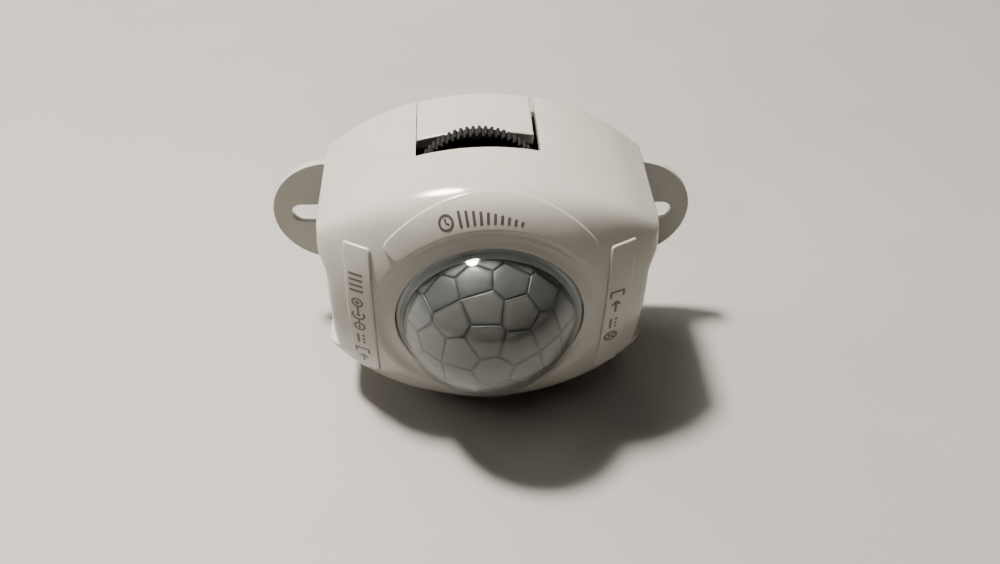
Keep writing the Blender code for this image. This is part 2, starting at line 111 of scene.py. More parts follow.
# Mesh steps of the housing.
SIDE_STEP = 0.8
SHOULDER_STEP = 0.24
DISC_STEP = 0.3
DISC_ROWS = 8
TURN_STEP = math.radians(0.9)
CAVITY_RADII = (22.0, 20.0, 18.0, 16.0, 14.0, LENS_HOLE)

# Raised label panels.
LABEL_RAISE = 0.3
LABEL_FILLET = 0.22
ARCH_TURN = math.radians(48.7)
ARCH_INNER = DISC_RADIUS + 0.05
ARCH_OUTER = 18.7
ARCH_MIDDLE = (ARCH_INNER + ARCH_OUTER) / 2
ARCH_HALF = (ARCH_OUTER - ARCH_INNER) / 2
ARCH_DROP = 1.1
SIDE_LABEL_INNER = 14.6
SIDE_LABEL_OUTER = 18.0
SIDE_LABEL_HALF = 11.1
LABEL_STEP = 0.35
LABEL_ROWS = (0.0, 0.03, 0.07, 0.13, 0.2, 0.3)       # distances from the edge, close together on the fillet
LABEL_SINK = 0.2            # the panels reach this far into the housing
INK_RAISE = 0.025
INK_SINK = 0.05
INK_STROKE = 0.3


# ---- mesh helpers

def build_mesh(name, points, faces):
    """An object from points in millimetres, with its faces pointing out."""
    mesh = bpy.data.meshes.new(name)
    mesh.from_pydata([tuple(point) for point in np.asarray(points, float) * MM], [], faces)
    tidy = bmesh.new()
    tidy.from_mesh(mesh)
    bmesh.ops.recalc_face_normals(tidy, faces=tidy.faces)
    tidy.to_mesh(mesh)
    tidy.free()
    made = bpy.data.objects.new(name, mesh)
    bpy.context.scene.collection.objects.link(made)
    return made


def apply_modifiers(piece):
    bpy.context.view_layer.update()
    evaluated = piece.evaluated_get(bpy.context.evaluated_depsgraph_get())
    mesh = bpy.data.meshes.new_from_object(evaluated)
    piece.modifiers.clear()
    piece.data = mesh


def combine(target, operation, *tools):
    """Apply exact Booleans to the target and remove the tools."""
    for tool in tools:
        modifier = target.modifiers.new("Boolean", "BOOLEAN")
        modifier.operation = operation
        modifier.solver = "EXACT"
        modifier.object = tool
        apply_modifiers(target)
        bpy.data.objects.remove(tool)
    return target


def round_edges(piece, width=EDGE_ROUND, segments=3, angle=40):
    """Round the piece's sharp edges."""
    modifier = piece.modifiers.new("Bevel", "BEVEL")
    modifier.width = width * MM
    modifier.segments = segments
    modifier.limit_method = "ANGLE"
    modifier.angle_limit = math.radians(angle)
    apply_modifiers(piece)
    return piece


def ring_quads(rings, count):
    """Faces between neighbouring closed rings of a number of points each."""
    return [(row * count + index, row * count + (index + 1) % count,
             (row + 1) * count + (index + 1) % count, (row + 1) * count + index)
            for row in range(rings - 1) for index in range(count)]


def loft(name, rings):
    """Join closed rings of equal length; the first and last ring are capped."""
    count = len(rings[0])
    points = [point for ring in rings for point in ring]
    caps = [tuple(range(count)), tuple(range(len(points) - count, len(points)))]
    return build_mesh(name, points, ring_quads(len(rings), count) + caps)


def on_axis(axis, along, first, second):
    return (along, first, second) if axis == "X" else (first, along, second)


def prism(name, outline, start, end):
    return loft(name, [[(x, along, z) for x, z in outline] for along in (start, end)])


def block(name, low, high):
    outline = [(low[0], low[2]), (high[0], low[2]), (high[0], high[2]), (low[0], high[2])]
    return prism(name, outline, low[1], high[1])


def circle(radius, steps, centre=(0.0, 0.0)):
    turns = np.arange(steps) * 2 * math.pi / steps
    return [(centre[0] + radius * math.cos(turn), centre[1] + radius * math.sin(turn)) for turn in turns]


def turned(name, profile, axis="Y", steps=64, centre=(0.0, 0.0)):
    """Turn an open (radius, along) profile that starts and ends on the axis."""
    rings = [[on_axis(axis, along, *point) for point in circle(radius, steps, centre)]
             for radius, along in profile[1:-1]]
    points = [point for ring in rings for point in ring]
    first_pole = len(points)
    points.append(on_axis(axis, profile[0][1], *centre))
    points.append(on_axis(axis, profile[-1][1], *centre))
    faces = ring_quads(len(rings), steps)
    last_ring = (len(rings) - 1) * steps
    for index in range(steps):
        after = (index + 1) % steps
        faces.append((first_pole, after, index))
        faces.append((first_pole + 1, last_ring + index, last_ring + after))
    return build_mesh(name, points, faces)


def rod(name, radius, start, end, steps, centre=(0.0, 0.0)):
    return turned(name, [(0, start), (radius, start), (radius, end), (0, end)], steps=steps, centre=centre)


def tube(name, profile, steps=96):
    """Turn a closed (radius, along) profile that stays off the axis."""
    points = [(radius * math.cos(turn), along, radius * math.sin(turn))
              for turn in np.arange(steps) * 2 * math.pi / steps for radius, along in profile]
    faces = ring_quads(steps + 1, len(profile))
    return build_mesh(name, points, [[index % len(points) for index in face] for face in faces])


def join(target, *others):
    """Put several meshes into one object."""
    whole = bmesh.new()
    for piece in (target, *others):
        whole.from_mesh(piece.data)
    mesh = bpy.data.meshes.new(target.name)
    whole.to_mesh(mesh)
    whole.free()
    target.data = mesh
    for piece in others:
        bpy.data.objects.remove(piece)
    return target


def stations(start, end, step, *stops):
    """Evenly spaced values from start to end that also land on every stop."""
    marks = sorted({start, end, *[stop for stop in stops if start < stop < end]})
    values = [marks[0]]
    for low, high in zip(marks, marks[1:]):
        count = max(1, math.ceil((high - low) / step))
        values += [low + (high - low) * index / count for index in range(1, count + 1)]
    return values


def finish(piece, name, look, body="sensor", nodes=(), smooth=35):
    """Name, shade and paint a piece, tie it to its body, and hide the CAD nodes that it stands for."""
    piece.name = name
    piece.data.name = name
    if look:
        piece.data.materials.append(look)
    piece.data.shade_smooth()
    piece.data.set_sharp_from_angle(angle=math.radians(smooth))
    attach(piece, body)
    if nodes:
        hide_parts(*nodes)
    return piece


def flatten(piece):
    """Shade the large flat faces flat, so that only the rounded edges turn the light."""
    piece.modifiers.new("normals", "WEIGHTED_NORMAL").keep_sharp = True
    apply_modifiers(piece)


# ---- housing surface

def waist(height, shelf=True):
    """Depth of the recess in the housing's side at a height."""
    share = np.clip((WAIST_TOP - height) / (WAIST_TOP - WAIST_FULL), 0, 1)
    depth = WAIST_DEPTH * (1 - np.cos(math.pi * share)) / 2
    if shelf:
        depth = depth * np.clip((height - WAIST_SHELF) / SHELF_RISE, 0, 1)
    return depth


def arc_height(x, radius=ARC_RADIUS):
    return np.sqrt(radius ** 2 - np.asarray(x) ** 2) - ARC_CENTRE


def reach(turn):
    """Distance from the lens axis to the housing's outline in a direction around the axis."""
    across = np.maximum(np.abs(np.cos(turn)), 1e-6)
    rise = np.sin(turn)
    arc = np.sqrt((ARC_CENTRE * rise) ** 2 + ARC_RADIUS ** 2 - ARC_CENTRE ** 2) - ARC_CENTRE * np.abs(rise)
    side = HALF_WIDTH / across
    for _ in range(24):
        side = (HALF_WIDTH - waist(np.clip(side * rise, -TOP, TOP))) / across
    near, far = np.minimum(arc, side), np.maximum(arc, side)
    return near * (1 + (near / far) ** CORNER_SHARPNESS) ** (-1 / CORNER_SHARPNESS)


def face_depth(radius):
    """Distance of the shoulder behind the flat disc, at a radius before the sides pull it in."""
    beyond = radius - DISC_RADIUS
    beyond = (beyond + np.sqrt(beyond ** 2 + DISC_BLEND ** 2)) / 2
    return FACE_SLOPE * beyond + FACE_CURVE * beyond ** 2


def disc_dish(radius):
    """Shallow groove in the disc around the lens."""
    share = (radius - LENS_HOLE) / (DISC_RADIUS - LENS_HOLE)
    return DISC_DISH * math.sin(math.pi * share) ** 2 if 0 < share < 1 else 0.0


def radius_at(depth):
    """The radius whose shoulder lies at a depth behind the flat disc."""
    root = math.sqrt(FACE_SLOPE ** 2 + 4 * FACE_CURVE * depth)
    return DISC_RADIUS + (root - FACE_SLOPE) / (2 * FACE_CURVE)


def blend_at(turn):
    """How sharply the face turns into the outline in a direction around the lens axis."""
    return ARC_BLEND + (SIDE_BLEND - ARC_BLEND) * np.cos(turn) ** 4


def pull_in(distance, radius, turn):
    """Where a point of the outline goes on the ring of a radius: its distance from the lens axis."""
    blend = blend_at(turn)
    return distance * (1 + (distance / radius) ** blend) ** (-1 / blend)


def face_y(x, z):
    """Y of the housing's face in front of a point."""
    distance = np.hypot(x, z)
    turn = np.arctan2(z, x)
    outline, blend = reach(turn), blend_at(turn)
    share = np.maximum((outline / np.maximum(distance, 1e-6)) ** blend - 1, 1e-9)
    return FACE + face_depth(np.maximum(outline * share ** (-1 / blend), 1.0))


def on_face(x, z, lift):
    """Points at a height above the housing's face, along its normal."""
    x, z, lift = np.broadcast_arrays(np.asarray(x, float), np.asarray(z, float), np.asarray(lift, float))
    step = 0.02
    slope_x = (face_y(x + step, z) - face_y(x - step, z)) / (2 * step)
    slope_z = (face_y(x, z + step) - face_y(x, z - step)) / (2 * step)
    length = np.sqrt(slope_x ** 2 + slope_z ** 2 + 1)
    return np.stack([x + lift * slope_x / length, face_y(x, z) - lift / length,
                     z + lift * slope_z / length], axis=-1)


def outline_turns():
    """Directions of the housing's columns; they land on the edges of its openings."""
    stops = []
    for height in (WAIST_SHELF, WAIST_SHELF + SHELF_RISE, -JACK_GAP_HALF, JACK_GAP_HALF,
                   -EAR_GAP_HALF, EAR_GAP_HALF, -CORNER_HEIGHT, CORNER_HEIGHT):
        across = float(HALF_WIDTH - waist(height))
        stops += [math.atan2(height, across), math.pi - math.atan2(height, across)]
    stops += [math.atan2(float(arc_height(x)), x) for x in (NOTCH_LEFT, NOTCH_RIGHT)]
    turns = stations(-math.pi / 2, 3 * math.pi / 2, TURN_STEP, *stops)
    return np.array(turns[:-1])


def squeeze(value, start, end, new_end):
    """Keep values up to a start, and move those beyond it so that the end lands on a new end."""
    return np.where(value > start, start + (value - start) * (new_end - start) / (end - start), value)


def inner_outline(turns):
    """The cavity's outline, level with the outer one beside the openings so that their walls are straight."""
    outer = reach(turns)
    x, z = outer * np.cos(turns), outer * np.sin(turns)
    half = HALF_WIDTH - WALL
    corner = math.sqrt((ARC_RADIUS - WALL) ** 2 - half ** 2) - ARC_CENTRE
    arc_x = np.sign(x) * squeeze(np.abs(x), CAVITY_FLAT, HALF_WIDTH, half)
    arc_z = np.sign(z) * arc_height(arc_x, ARC_RADIUS - WALL)
    side_z = np.sign(z) * squeeze(np.abs(z), CAVITY_LEVEL, CORNER_HEIGHT, corner)
    side_x = np.sign(x) * (half - waist(side_z, shelf=False))
    is_side = np.abs(z) <= CORNER_HEIGHT
    return np.where(is_side, side_x, arc_x), np.where(is_side, side_z, arc_z)


def housing_rows():
    """Y stations along the sides, from the rear rim forwards, and radii over the face to the lens hole."""
    sides = stations(SIDE_FRONT, 0.0, SIDE_STEP, JACK_GAP_FRONT, NOTCH_FRONT, EAR_GAP_FRONT)[::-1]
    shoulder = stations(DISC_RADIUS, radius_at(SIDE_FRONT - FACE), SHOULDER_STEP)[::-1][1:]
    disc = [DISC_RADIUS - DISC_STEP * index for index in range(1, DISC_ROWS + 1)]
    return sides, shoulder + disc + [LENS_HOLE + 0.2, LENS_HOLE]


def is_open(depth, x, z):
    """True inside one of the openings in the housing's sides."""
    if z > CORNER_HEIGHT:
        return NOTCH_LEFT < x < NOTCH_RIGHT and depth > NOTCH_FRONT
    if z < -CORNER_HEIGHT:
        return False
    in_jack_gap = abs(z) < JACK_GAP_HALF and depth > JACK_GAP_FRONT
    return in_jack_gap or (abs(z) < EAR_GAP_HALF and depth > EAR_GAP_FRONT)


def housing_rings(turns):
    """Rings of the outer and the inner skin, from the rear rim to the lens hole, and the sides' stations."""
    outer = reach(turns)
    inner_x, inner_z = inner_outline(turns)
    inner = np.hypot(inner_x, inner_z)
    side_rows, face_rows = housing_rows()

    def outer_ring(radius, depth):
        distance = pull_in(outer, radius, turns)
        ring = [distance * np.cos(turns), np.full(len(turns), depth), distance * np.sin(turns)]
        return np.stack(ring, axis=-1)

    def inner_ring(radius, depth):
        share = pull_in(inner, radius, turns) / inner
        return np.stack([inner_x * share, np.full(len(turns), depth), inner_z * share], axis=-1)

    outer_rings = [outer_ring(radius_at(depth - FACE), depth) for depth in side_rows]
    outer_rings += [outer_ring(radius, float(FACE + face_depth(radius)) + disc_dish(radius))
                    for radius in face_rows]
    inner_rings = [inner_ring(radius_at(max(depth - FACE - FRONT_WALL, 0)) - WALL / 2, depth)
                   for depth in side_rows]
    widest = radius_at(max(SIDE_FRONT - FACE - FRONT_WALL, 0))
    for radius in CAVITY_RADII:
        if radius <= widest:
            depth = FACE + FRONT_WALL + float(face_depth(radius))
            inner_rings.append(inner_ring(max(radius - WALL / 2, LENS_HOLE), depth))
    return outer_rings, inner_rings, side_rows


def solid_cells(outer_rings, side_rows):
    """Which cells of the sides are plastic and which lie in an opening."""
    columns = len(outer_rings[0])
    solid = np.ones((len(side_rows) - 1, columns), bool)
    for row in range(len(side_rows) - 1):
        middle = (side_rows[row] + side_rows[row + 1]) / 2
        for column in range(columns):
            x, _, z = (outer_rings[row][column] + outer_rings[row][(column + 1) % columns]) / 2
            solid[row, column] = not is_open(middle, x, z)
    return solid


def housing_shell():
    """One skin outside and one inside, joined around the rear rim, the openings and the lens hole."""
    outer_rings, inner_rings, side_rows = housing_rings(outline_turns())
    solid = solid_cells(outer_rings, side_rows)
    columns, side_cells = solid.shape[1], solid.shape[0]
    first_inner = len(outer_rings) * columns

    def outer_at(row, column):
        return row * columns + column % columns

    def inner_at(row, column):
        return first_inner + row * columns + column % columns

    def wall(row, column, next_row, next_column):
        """Face between the two skins along one edge of the grid."""
        return (outer_at(row, column), outer_at(next_row, next_column),
                inner_at(next_row, next_column), inner_at(row, column))

    faces = []
    for skin, rows in ((outer_at, len(outer_rings)), (inner_at, len(inner_rings))):
        for row in range(rows - 1):
            for column in range(columns):
                if row >= side_cells or solid[row, column]:
                    faces.append((skin(row, column), skin(row, column + 1),
                                  skin(row + 1, column + 1), skin(row + 1, column)))
    for row in range(side_cells):
        for column in range(columns):
            if solid[row, column]:
                if row == 0 or not solid[row - 1, column]:
                    faces.append(wall(row, column, row, column + 1))
                for side, beside in ((column, column - 1), (column + 1, column + 1)):
                    if not solid[row, beside % columns]:
                        faces.append(wall(row, side, row + 1, side))
            elif row == side_cells - 1 or solid[row + 1, column]:
                faces.append(wall(row + 1, column, row + 1, column + 1))
    hole_outer, hole_inner = len(outer_rings) - 1, len(inner_rings) - 1
    faces += [(outer_at(hole_outer, column), outer_at(hole_outer, column + 1),
               inner_at(hole_inner, column + 1), inner_at(hole_inner, column)) for column in range(columns)]
    points = np.concatenate(outer_rings + inner_rings)
    used = sorted({index for face in faces for index in face})
    renumber = {old: new for new, old in enumerate(used)}
    return build_mesh("housing", points[used], [[renumber[index] for index in face] for face in faces])


# ---- housing pieces

SCREW_HOLE = 1.3
BOSS_RADIUS = 2.3
BOSS_REAR = -1.9
BOSS_FRONT = -20.0


def screw_places():
    """The four screw positions: the name of the CAD node, X and Z."""
    for level in ("upper", "lower"):
        for side in ("left", "right"):
            node = "cover_screw_" + level + "_" + side
            low, high = box(node)
            yield node, (low[0] + high[0]) / 2, (low[2] + high[2]) / 2


def housing():
    shell = round_edges(housing_shell(), segments=2)
    for _, x, z in screw_places():
        boss = tube("boss", [(SCREW_HOLE, BOSS_REAR), (BOSS_RADIUS, BOSS_REAR), (BOSS_RADIUS, BOSS_FRONT),
                             (SCREW_HOLE, BOSS_FRONT)], steps=32)
        boss.data.transform(Matrix.Translation((x * MM, 0, z * MM)))
        shell = join(shell, boss)
    finish(shell, "housing_shell", white_plastic("housing_white"), nodes=("front_housing",))


def label_grid(half_length, half_width, corner):
    """Grid of a rounded rectangle: positions along and across, and each point's distance from the edge."""

    def line(half):
        inner = half - LABEL_ROWS[-1]
        count = max(2, math.ceil(2 * inner / LABEL_STEP))
        middle = [-inner + 2 * inner * index / count for index in range(1, count)]
        ends = [half - row for row in LABEL_ROWS]
        return np.array([-value for value in ends] + middle + ends[::-1])

    along, across = np.meshgrid(line(half_length), line(half_width), indexing="ij")
    edge = np.minimum(half_length - np.abs(along), half_width - np.abs(across))
    u = (np.abs(along) - (half_length - corner)) / corner
    v = (np.abs(across) - (half_width - corner)) / corner
    in_corner = (u > 0) & (v > 0)
    u, v = np.clip(u, 0, 1), np.clip(v, 0, 1)
    round_u = u * np.sqrt(1 - v ** 2 / 2)
    round_v = v * np.sqrt(1 - u ** 2 / 2)
    along = np.where(in_corner, np.sign(along) * (half_length - corner + corner * round_u), along)
    across = np.where(in_corner, np.sign(across) * (half_width - corner + corner * round_v), across)
    edge = np.where(in_corner, corner * (1 - np.hypot(round_u, round_v)), edge)
    return along, across, np.maximum(edge, 0)


def label_panel(name, place, half_length, half_width, corner):
    """Raised panel with a rounded edge; place turns its own along and across into X and Z."""
    along, across, edge = label_grid(half_length, half_width, corner)
    ease = np.clip(edge / LABEL_FILLET, 0, 1)
    height = LABEL_RAISE * np.sqrt(1 - (1 - ease) ** 2)
    x, z = place(along, across)
    top = on_face(x, z, height)
    bottom = on_face(x, z, -LABEL_SINK)
    rows, columns = top.shape[:2]
    points = np.concatenate([top.reshape(-1, 3), bottom.reshape(-1, 3)])
    below = rows * columns

    def at(row, column):
        return row * columns + column

    faces = []
    for row in range(rows - 1):
        for column in range(columns - 1):
            quad = (at(row, column), at(row, column + 1), at(row + 1, column + 1), at(row + 1, column))
            faces += [quad, tuple(below + index for index in quad)]
    rim = [at(0, column) for column in range(columns)]
    rim += [at(row, columns - 1) for row in range(1, rows)]
    rim += [at(rows - 1, column) for column in range(columns - 2, -1, -1)]
    rim += [at(row, 0) for row in range(rows - 2, 0, -1)]
    for one, other in zip(rim, rim[1:] + rim[:1]):
        faces.append((one, other, below + other, below + one))
    return build_mesh(name, points, faces)


def arch_place(along, across):
    """X and Z on the arched label: along runs clockwise from its middle, across runs outwards."""
    turn = along / ARCH_MIDDLE
    share = (across + ARCH_HALF) / (2 * ARCH_HALF)
    outer = ARCH_OUTER - ARCH_DROP * (turn / ARCH_TURN) ** 2
    radius = ARCH_INNER + (outer - ARCH_INNER) * share
    return radius * np.sin(turn), radius * np.cos(turn)


def side_place(sign):
    """X and Z on a side label: along runs up, across runs to the left."""
    middle = sign * (SIDE_LABEL_INNER + SIDE_LABEL_OUTER) / 2
    return lambda along, across: (middle - across, along)


def labels():
    look = white_plastic("label_white")
    arch = label_panel("arch", arch_place, ARCH_MIDDLE * ARCH_TURN, ARCH_HALF, 0.9)
    finish(arch, "label_arch", look)
    half = (SIDE_LABEL_OUTER - SIDE_LABEL_INNER) / 2
    for side, sign in (("left", -1), ("right", 1)):
        panel = label_panel("panel", side_place(sign), SIDE_LABEL_HALF, half, 0.5)
        finish(panel, "label_" + side, look)


# ---- printed marks

def stroke(points, width, closed=False):
    """Outer and inner edge of a line of a width through flat points."""
    points = np.array(points, float)
    if closed:
        before, after = np.roll(points, 1, axis=0), np.roll(points, -1, axis=0)
    else:
        before = np.concatenate([points[:1], points[:-1]])
        after = np.concatenate([points[1:], points[-1:]])
    direction = after - before
    direction /= np.maximum(np.linalg.norm(direction, axis=1, keepdims=True), 1e-9)
    normal = np.stack([-direction[:, 1], direction[:, 0]], axis=-1)
    return points + normal * width / 2, points - normal * width / 2


def fine_line(points, step=0.25):
    """The same line with points at most a step apart."""
    result = [points[0]]
    for (x, y), (next_x, next_y) in zip(points, points[1:]):
        count = max(1, math.ceil(math.hypot(next_x - x, next_y - y) / step))
        result += [(x + (next_x - x) * i / count, y + (next_y - y) * i / count) for i in range(1, count + 1)]
    return result


def ink_strokes(name, place, strokes):
    """Raised ink lines on a label; each stroke is (points, width, closed)."""
    points, faces = [], []
    for line, width, closed in strokes:
        line = line if closed else fine_line(line)
        left, right = stroke(line, width, closed)
        count = len(left)
        start = sum(len(part) for part in points)
        for flat, lift in ((left, LABEL_RAISE + INK_RAISE), (right, LABEL_RAISE + INK_RAISE),
                           (left, LABEL_RAISE - INK_SINK), (right, LABEL_RAISE - INK_SINK)):
            x, z = place(flat[:, 0], flat[:, 1])
            points.append(on_face(x, z, lift))
        left_top, right_top, left_low, right_low = (start + count * part for part in range(4))
        for index in range(count if closed else count - 1):
            after = (index + 1) % count
            for one, other in ((left_top, right_top), (right_top, right_low),
                               (right_low, left_low), (left_low, left_top)):
                faces.append((one + index, one + after, other + after, other + index))
        if not closed:
            for index in (0, count - 1):
                faces.append((left_top + index, right_top + index, right_low + index, left_low + index))
    return build_mesh(name, np.concatenate(points), faces)


def shifted(strokes, along, across=0.0):
    return [([(x + along, y + across) for x, y in line], width, closed) for line, width, closed in strokes]


def clock_mark():
    """Clock face with two hands."""
    return [(circle(0.8, 28), INK_STROKE, True),
            ([(0, 0.5), (0, -0.05), (0.36, -0.25)], 0.24, False)]


def falling_scale(count=10, pitch=0.84, tall=1.75, short=0.55):
    """Row of ticks on one base line that get shorter."""
    marks = []
    for index in range(count):
        height = tall + (short - tall) * index / (count - 1)
        marks.append(([(index * pitch, -0.9), (index * pitch, -0.9 + height)], 0.34, False))
    return marks


def lamp_mark():
    """Circle with a cross: a lamp."""
    reach_45 = 0.8 * math.cos(math.pi / 4)
    return [(circle(0.8, 28), INK_STROKE, True),
            ([(-reach_45, -reach_45), (reach_45, reach_45)], 0.26, False),
            ([(-reach_45, reach_45), (reach_45, -reach_45)], 0.26, False)]


def direct_current_mark():
    """Solid line over a dashed line."""
    marks = [([(-0.9, 0.35), (0.9, 0.35)], INK_STROKE, False)]
    for middle in (-0.7, 0.0, 0.7):
        marks.append(([(middle - 0.2, -0.35), (middle + 0.2, -0.35)], INK_STROKE, False))
    return marks


def polarity_mark():
    """Minus, centre contact and plus, joined by a line."""
    marks = []
    for middle in (-2.1, 2.1):
        marks.append((circle(0.62, 28, (middle, 0)), 0.24, True))
        marks.append(([(middle - 0.32, 0), (middle + 0.32, 0)], 0.22, False))
    marks.append(([(2.1, -0.32), (2.1, 0.32)], 0.22, False))
    marks.append(([(-1.48, 0), (-0.75, 0)], 0.24, False))
    marks.append(([(0.2, 0), (1.48, 0)], 0.24, False))
    turns = np.radians(np.linspace(60, 300, 17))
    marks.append(([(0.75 * math.cos(turn), 0.75 * math.sin(turn)) for turn in turns], 0.26, False))
    marks.append((circle(0.12, 10), 0.22, True))
    return marks


def arrow_mark(length=2.0):
    """Arrow that points along the label."""
    half = length / 2
    return [([(-half, 0), (half, 0)], INK_STROKE, False),
            ([(half - 0.6, 0.55), (half + 0.05, 0)], INK_STROKE, False),
            ([(half - 0.6, -0.55), (half + 0.05, 0)], INK_STROKE, False)]


def socket_mark():
    """Open box that an arrow enters."""
    return [([(-0.35, 0.85), (0.55, 0.85), (0.55, -0.85), (-0.35, -0.85)], INK_STROKE, False)]


def printing():
    look = moulded("ink_grey", (0.075, 0.065, 0.056), (0.1, 0.088, 0.077), 0.4, 0.2, 0.003)
    arch = shifted(clock_mark(), -5.2) + shifted(falling_scale(), -3.5)
    marks = ink_strokes("ink", arch_place, shifted(arch, ARCH_MIDDLE * math.radians(-3.5) + 0.6, -0.2))
    finish(marks, "time_scale_print", look)
    left = shifted(arrow_mark(1.6), -8.0) + shifted(socket_mark(), -6.2)
    left += shifted(direct_current_mark(), -3.4) + shifted(polarity_mark(), 1.2)
    left += shifted(falling_scale(4, 0.8, 1.7, 1.7), 5.2)
    marks = ink_strokes("ink", side_place(-1), shifted(left, -0.4, 0.3))
    finish(marks, "input_print", look)
    right = shifted(lamp_mark(), -4.0) + shifted(direct_current_mark(), -1.4) + shifted(arrow_mark(1.8), 1.6)
    right += shifted(socket_mark(), 3.6)
    marks = ink_strokes("ink", side_place(1), shifted(right, 0.2, 0.3))
    finish(marks, "output_print", look)


# ---- rear cover

COVER_THICKNESS = 1.6
COVER_INSET = 2.05          # from the housing's outline to the plate
TAB_INNER = 17.5            # the tabs under the ears run from here to the housing's sides
TAB_HALF = 4.5
TAB_FRONT = -2.6
EAR_THICKNESS = 1.2
EAR_ROOT = 17.1
EAR_CENTRE = 21.3
EAR_RADIUS = COVER_HIGH[0] - EAR_CENTRE
SLOT_HALF = 1.5
SLOT_INNER = 22.0
SLOT_CENTRE = 26.1
TONGUE_LEFT = -9.03
TONGUE_RIGHT = 5.7
TONGUE_FRONT = COVER_LOW[1]
HEAD_POCKET = 2.2
POCKET_DEPTH = 1.1
SEAM_STEP = 0.015           # the ears and the tongue stand this far in front of the plate's rear face


def cover_plate():
    turns = np.array(stations(-math.pi / 2, 3 * math.pi / 2, math.radians(2.5))[:-1])
    distance = reach(turns) - COVER_INSET
    outline = [(length * math.cos(turn), length * math.sin(turn)) for length, turn in zip(distance, turns)]
    plate = prism("plate", outline, -COVER_THICKNESS, 0.0)
    for _, x, z in screw_places():
        pocket = rod("pocket", HEAD_POCKET, -POCKET_DEPTH, 1, 48, (x, z))
        hole = rod("hole", SCREW_HOLE, -3, 1, 32, (x, z))
        combine(plate, "DIFFERENCE", pocket, hole)
    return round_edges(plate, 0.2)


def half_round(inner, centre, radius, steps):
    """Outline of a strip from an inner edge to a half-round end."""
    turns = np.linspace(math.pi / 2, -math.pi / 2, steps)
    arc = [(centre + radius * math.cos(turn), radius * math.sin(turn)) for turn in turns]
    return [(inner, radius), *arc, (inner, -radius)]


def ear(sign):
    """Half-round ear with a screw slot, its edges rounded."""
    outline = half_round(EAR_ROOT, EAR_CENTRE, EAR_RADIUS, 49)
    slot = half_round(SLOT_INNER, SLOT_CENTRE, SLOT_HALF, 25)
    piece = prism("ear", [(sign * x, z) for x, z in outline], -EAR_THICKNESS, -SEAM_STEP)
    combine(piece, "DIFFERENCE", prism("slot", [(sign * x, z) for x, z in slot], -3.0, 1.0))
    return round_edges(piece, 0.14)


def tongue():
    """Strip of the housing's arc that closes the notch behind the wheel."""
    across = np.linspace(TONGUE_LEFT, TONGUE_RIGHT, 33)
    outline = [(x, float(arc_height(x))) for x in across]
    outline += [(x, float(arc_height(x)) - WALL) for x in across[::-1]]
    strip = round_edges(prism("tongue", outline, TONGUE_FRONT, -SEAM_STEP), 0.22)
    web_top = float(arc_height(TONGUE_LEFT)) - 0.5
    web_low = (TONGUE_LEFT + 0.1, -COVER_THICKNESS + 0.05, 12.0)
    return strip, block("web", web_low, (TONGUE_RIGHT - 0.1, -0.05, web_top))


def rear_cover():
    cover = cover_plate()
    parts = [ear(-1), ear(1), *tongue()]
    for sign in (-1, 1):
        inner, outer = sorted((sign * TAB_INNER, sign * (HALF_WIDTH - WAIST_DEPTH - 0.05)))
        tab = block("tab", (inner, TAB_FRONT, -TAB_HALF), (outer, -0.02, TAB_HALF))
        parts.append(round_edges(tab, 0.15))
    combine(cover, "UNION", *parts)
    flatten(finish(cover, "cover_shell", white_plastic("cover_white"), nodes=("rear_cover",)))


SHANK = 1.0
THREAD_DEPTH = 0.22
THREAD_PITCH = 0.62
RECESS_LENGTH = 2.1
RECESS_WIDTH = 0.46
RECESS_DEPTH = 0.5


def screws():
    look = steel("screw_steel")
    for node, x, z in screw_places():
        low, high = box(node)
        head = (high[0] - low[0]) / 2
        rear = high[1]
        profile = [(0, rear), (head * 0.45, rear), (head * 0.75, rear - 0.07), (head * 0.93, rear - 0.22),
                   (head, rear - 0.42), (head, rear - 0.62), (head - 0.12, -0.8), (SHANK, -0.8)]
        depth = -1.3
        while depth > low[1] + 1.2:
            profile += [(SHANK, depth), (SHANK - THREAD_DEPTH, depth - 0.12),
                        (SHANK - THREAD_DEPTH, depth - 0.3), (SHANK, depth - 0.42)]
            depth -= THREAD_PITCH
        profile += [(SHANK - 0.3, low[1] + 0.7), (0, low[1])]
        screw = turned("screw", profile, steps=40, centre=(x, z))
        for width, height in ((RECESS_LENGTH, RECESS_WIDTH), (RECESS_WIDTH, RECESS_LENGTH)):
            slot = block("recess", (x - width / 2, rear - RECESS_DEPTH, z - height / 2),
                         (x + width / 2, rear + 1, z + height / 2))
            combine(screw, "DIFFERENCE", slot)
        round_edges(screw, 0.04, 2, 50)
        finish(screw, node.replace("cover_screw", "screw"), look, nodes=(node,), smooth=40)


# ---- lens

DOME_BASE = -22.7
DOME_RADIUS = 11.86
DOME_WALL = 0.35
NECK_RADIUS = 11.95
FLANGE_RADIUS = LENS_HIGH[0]
FLANGE_THICKNESS = 0.8
DOME_HEIGHT = DOME_BASE - LENS_LOW[1]
DOME_SPHERE = (DOME_RADIUS ** 2 + DOME_HEIGHT ** 2) / (2 * DOME_HEIGHT)
DOME_CENTRE = LENS_LOW[1] + DOME_SPHERE
CELL_DISTANCE = 11.35            # from the dome's centre to the flat of each cell
INNER_CELLS = (-10, 46, 102, 152, 205, 289)                    # directions of the cells around the middle one
OUTER_CELLS = ((42.5, 11, 32), (60, 14, 0), (77, 17, 8))         # angle from the axis, count, first direction
CELL_GROOVE = 0.15               # depth of the grooves between the cells
GROOVE_WIDTH = 0.14
SHORT_EDGE = 0.9                 # the cells' edges shorter than this would break the grooves, and go
CELL_LIMIT = DOME_SPHERE - DOME_WALL - 0.06                      # keeps the cells inside the dome's wall
BAND_HEIGHT = 0.8                # milky band inside the dome's rim
# Painted light and shade on the lens: the cool, deep, warm and pale looks are lit and shaded tones for the
# side of the room each cell faces, and the groove and edge looks are painted shade between the cells.
COOL, DEEP, WARM, PALE, EDGE, GROOVE = range(6)
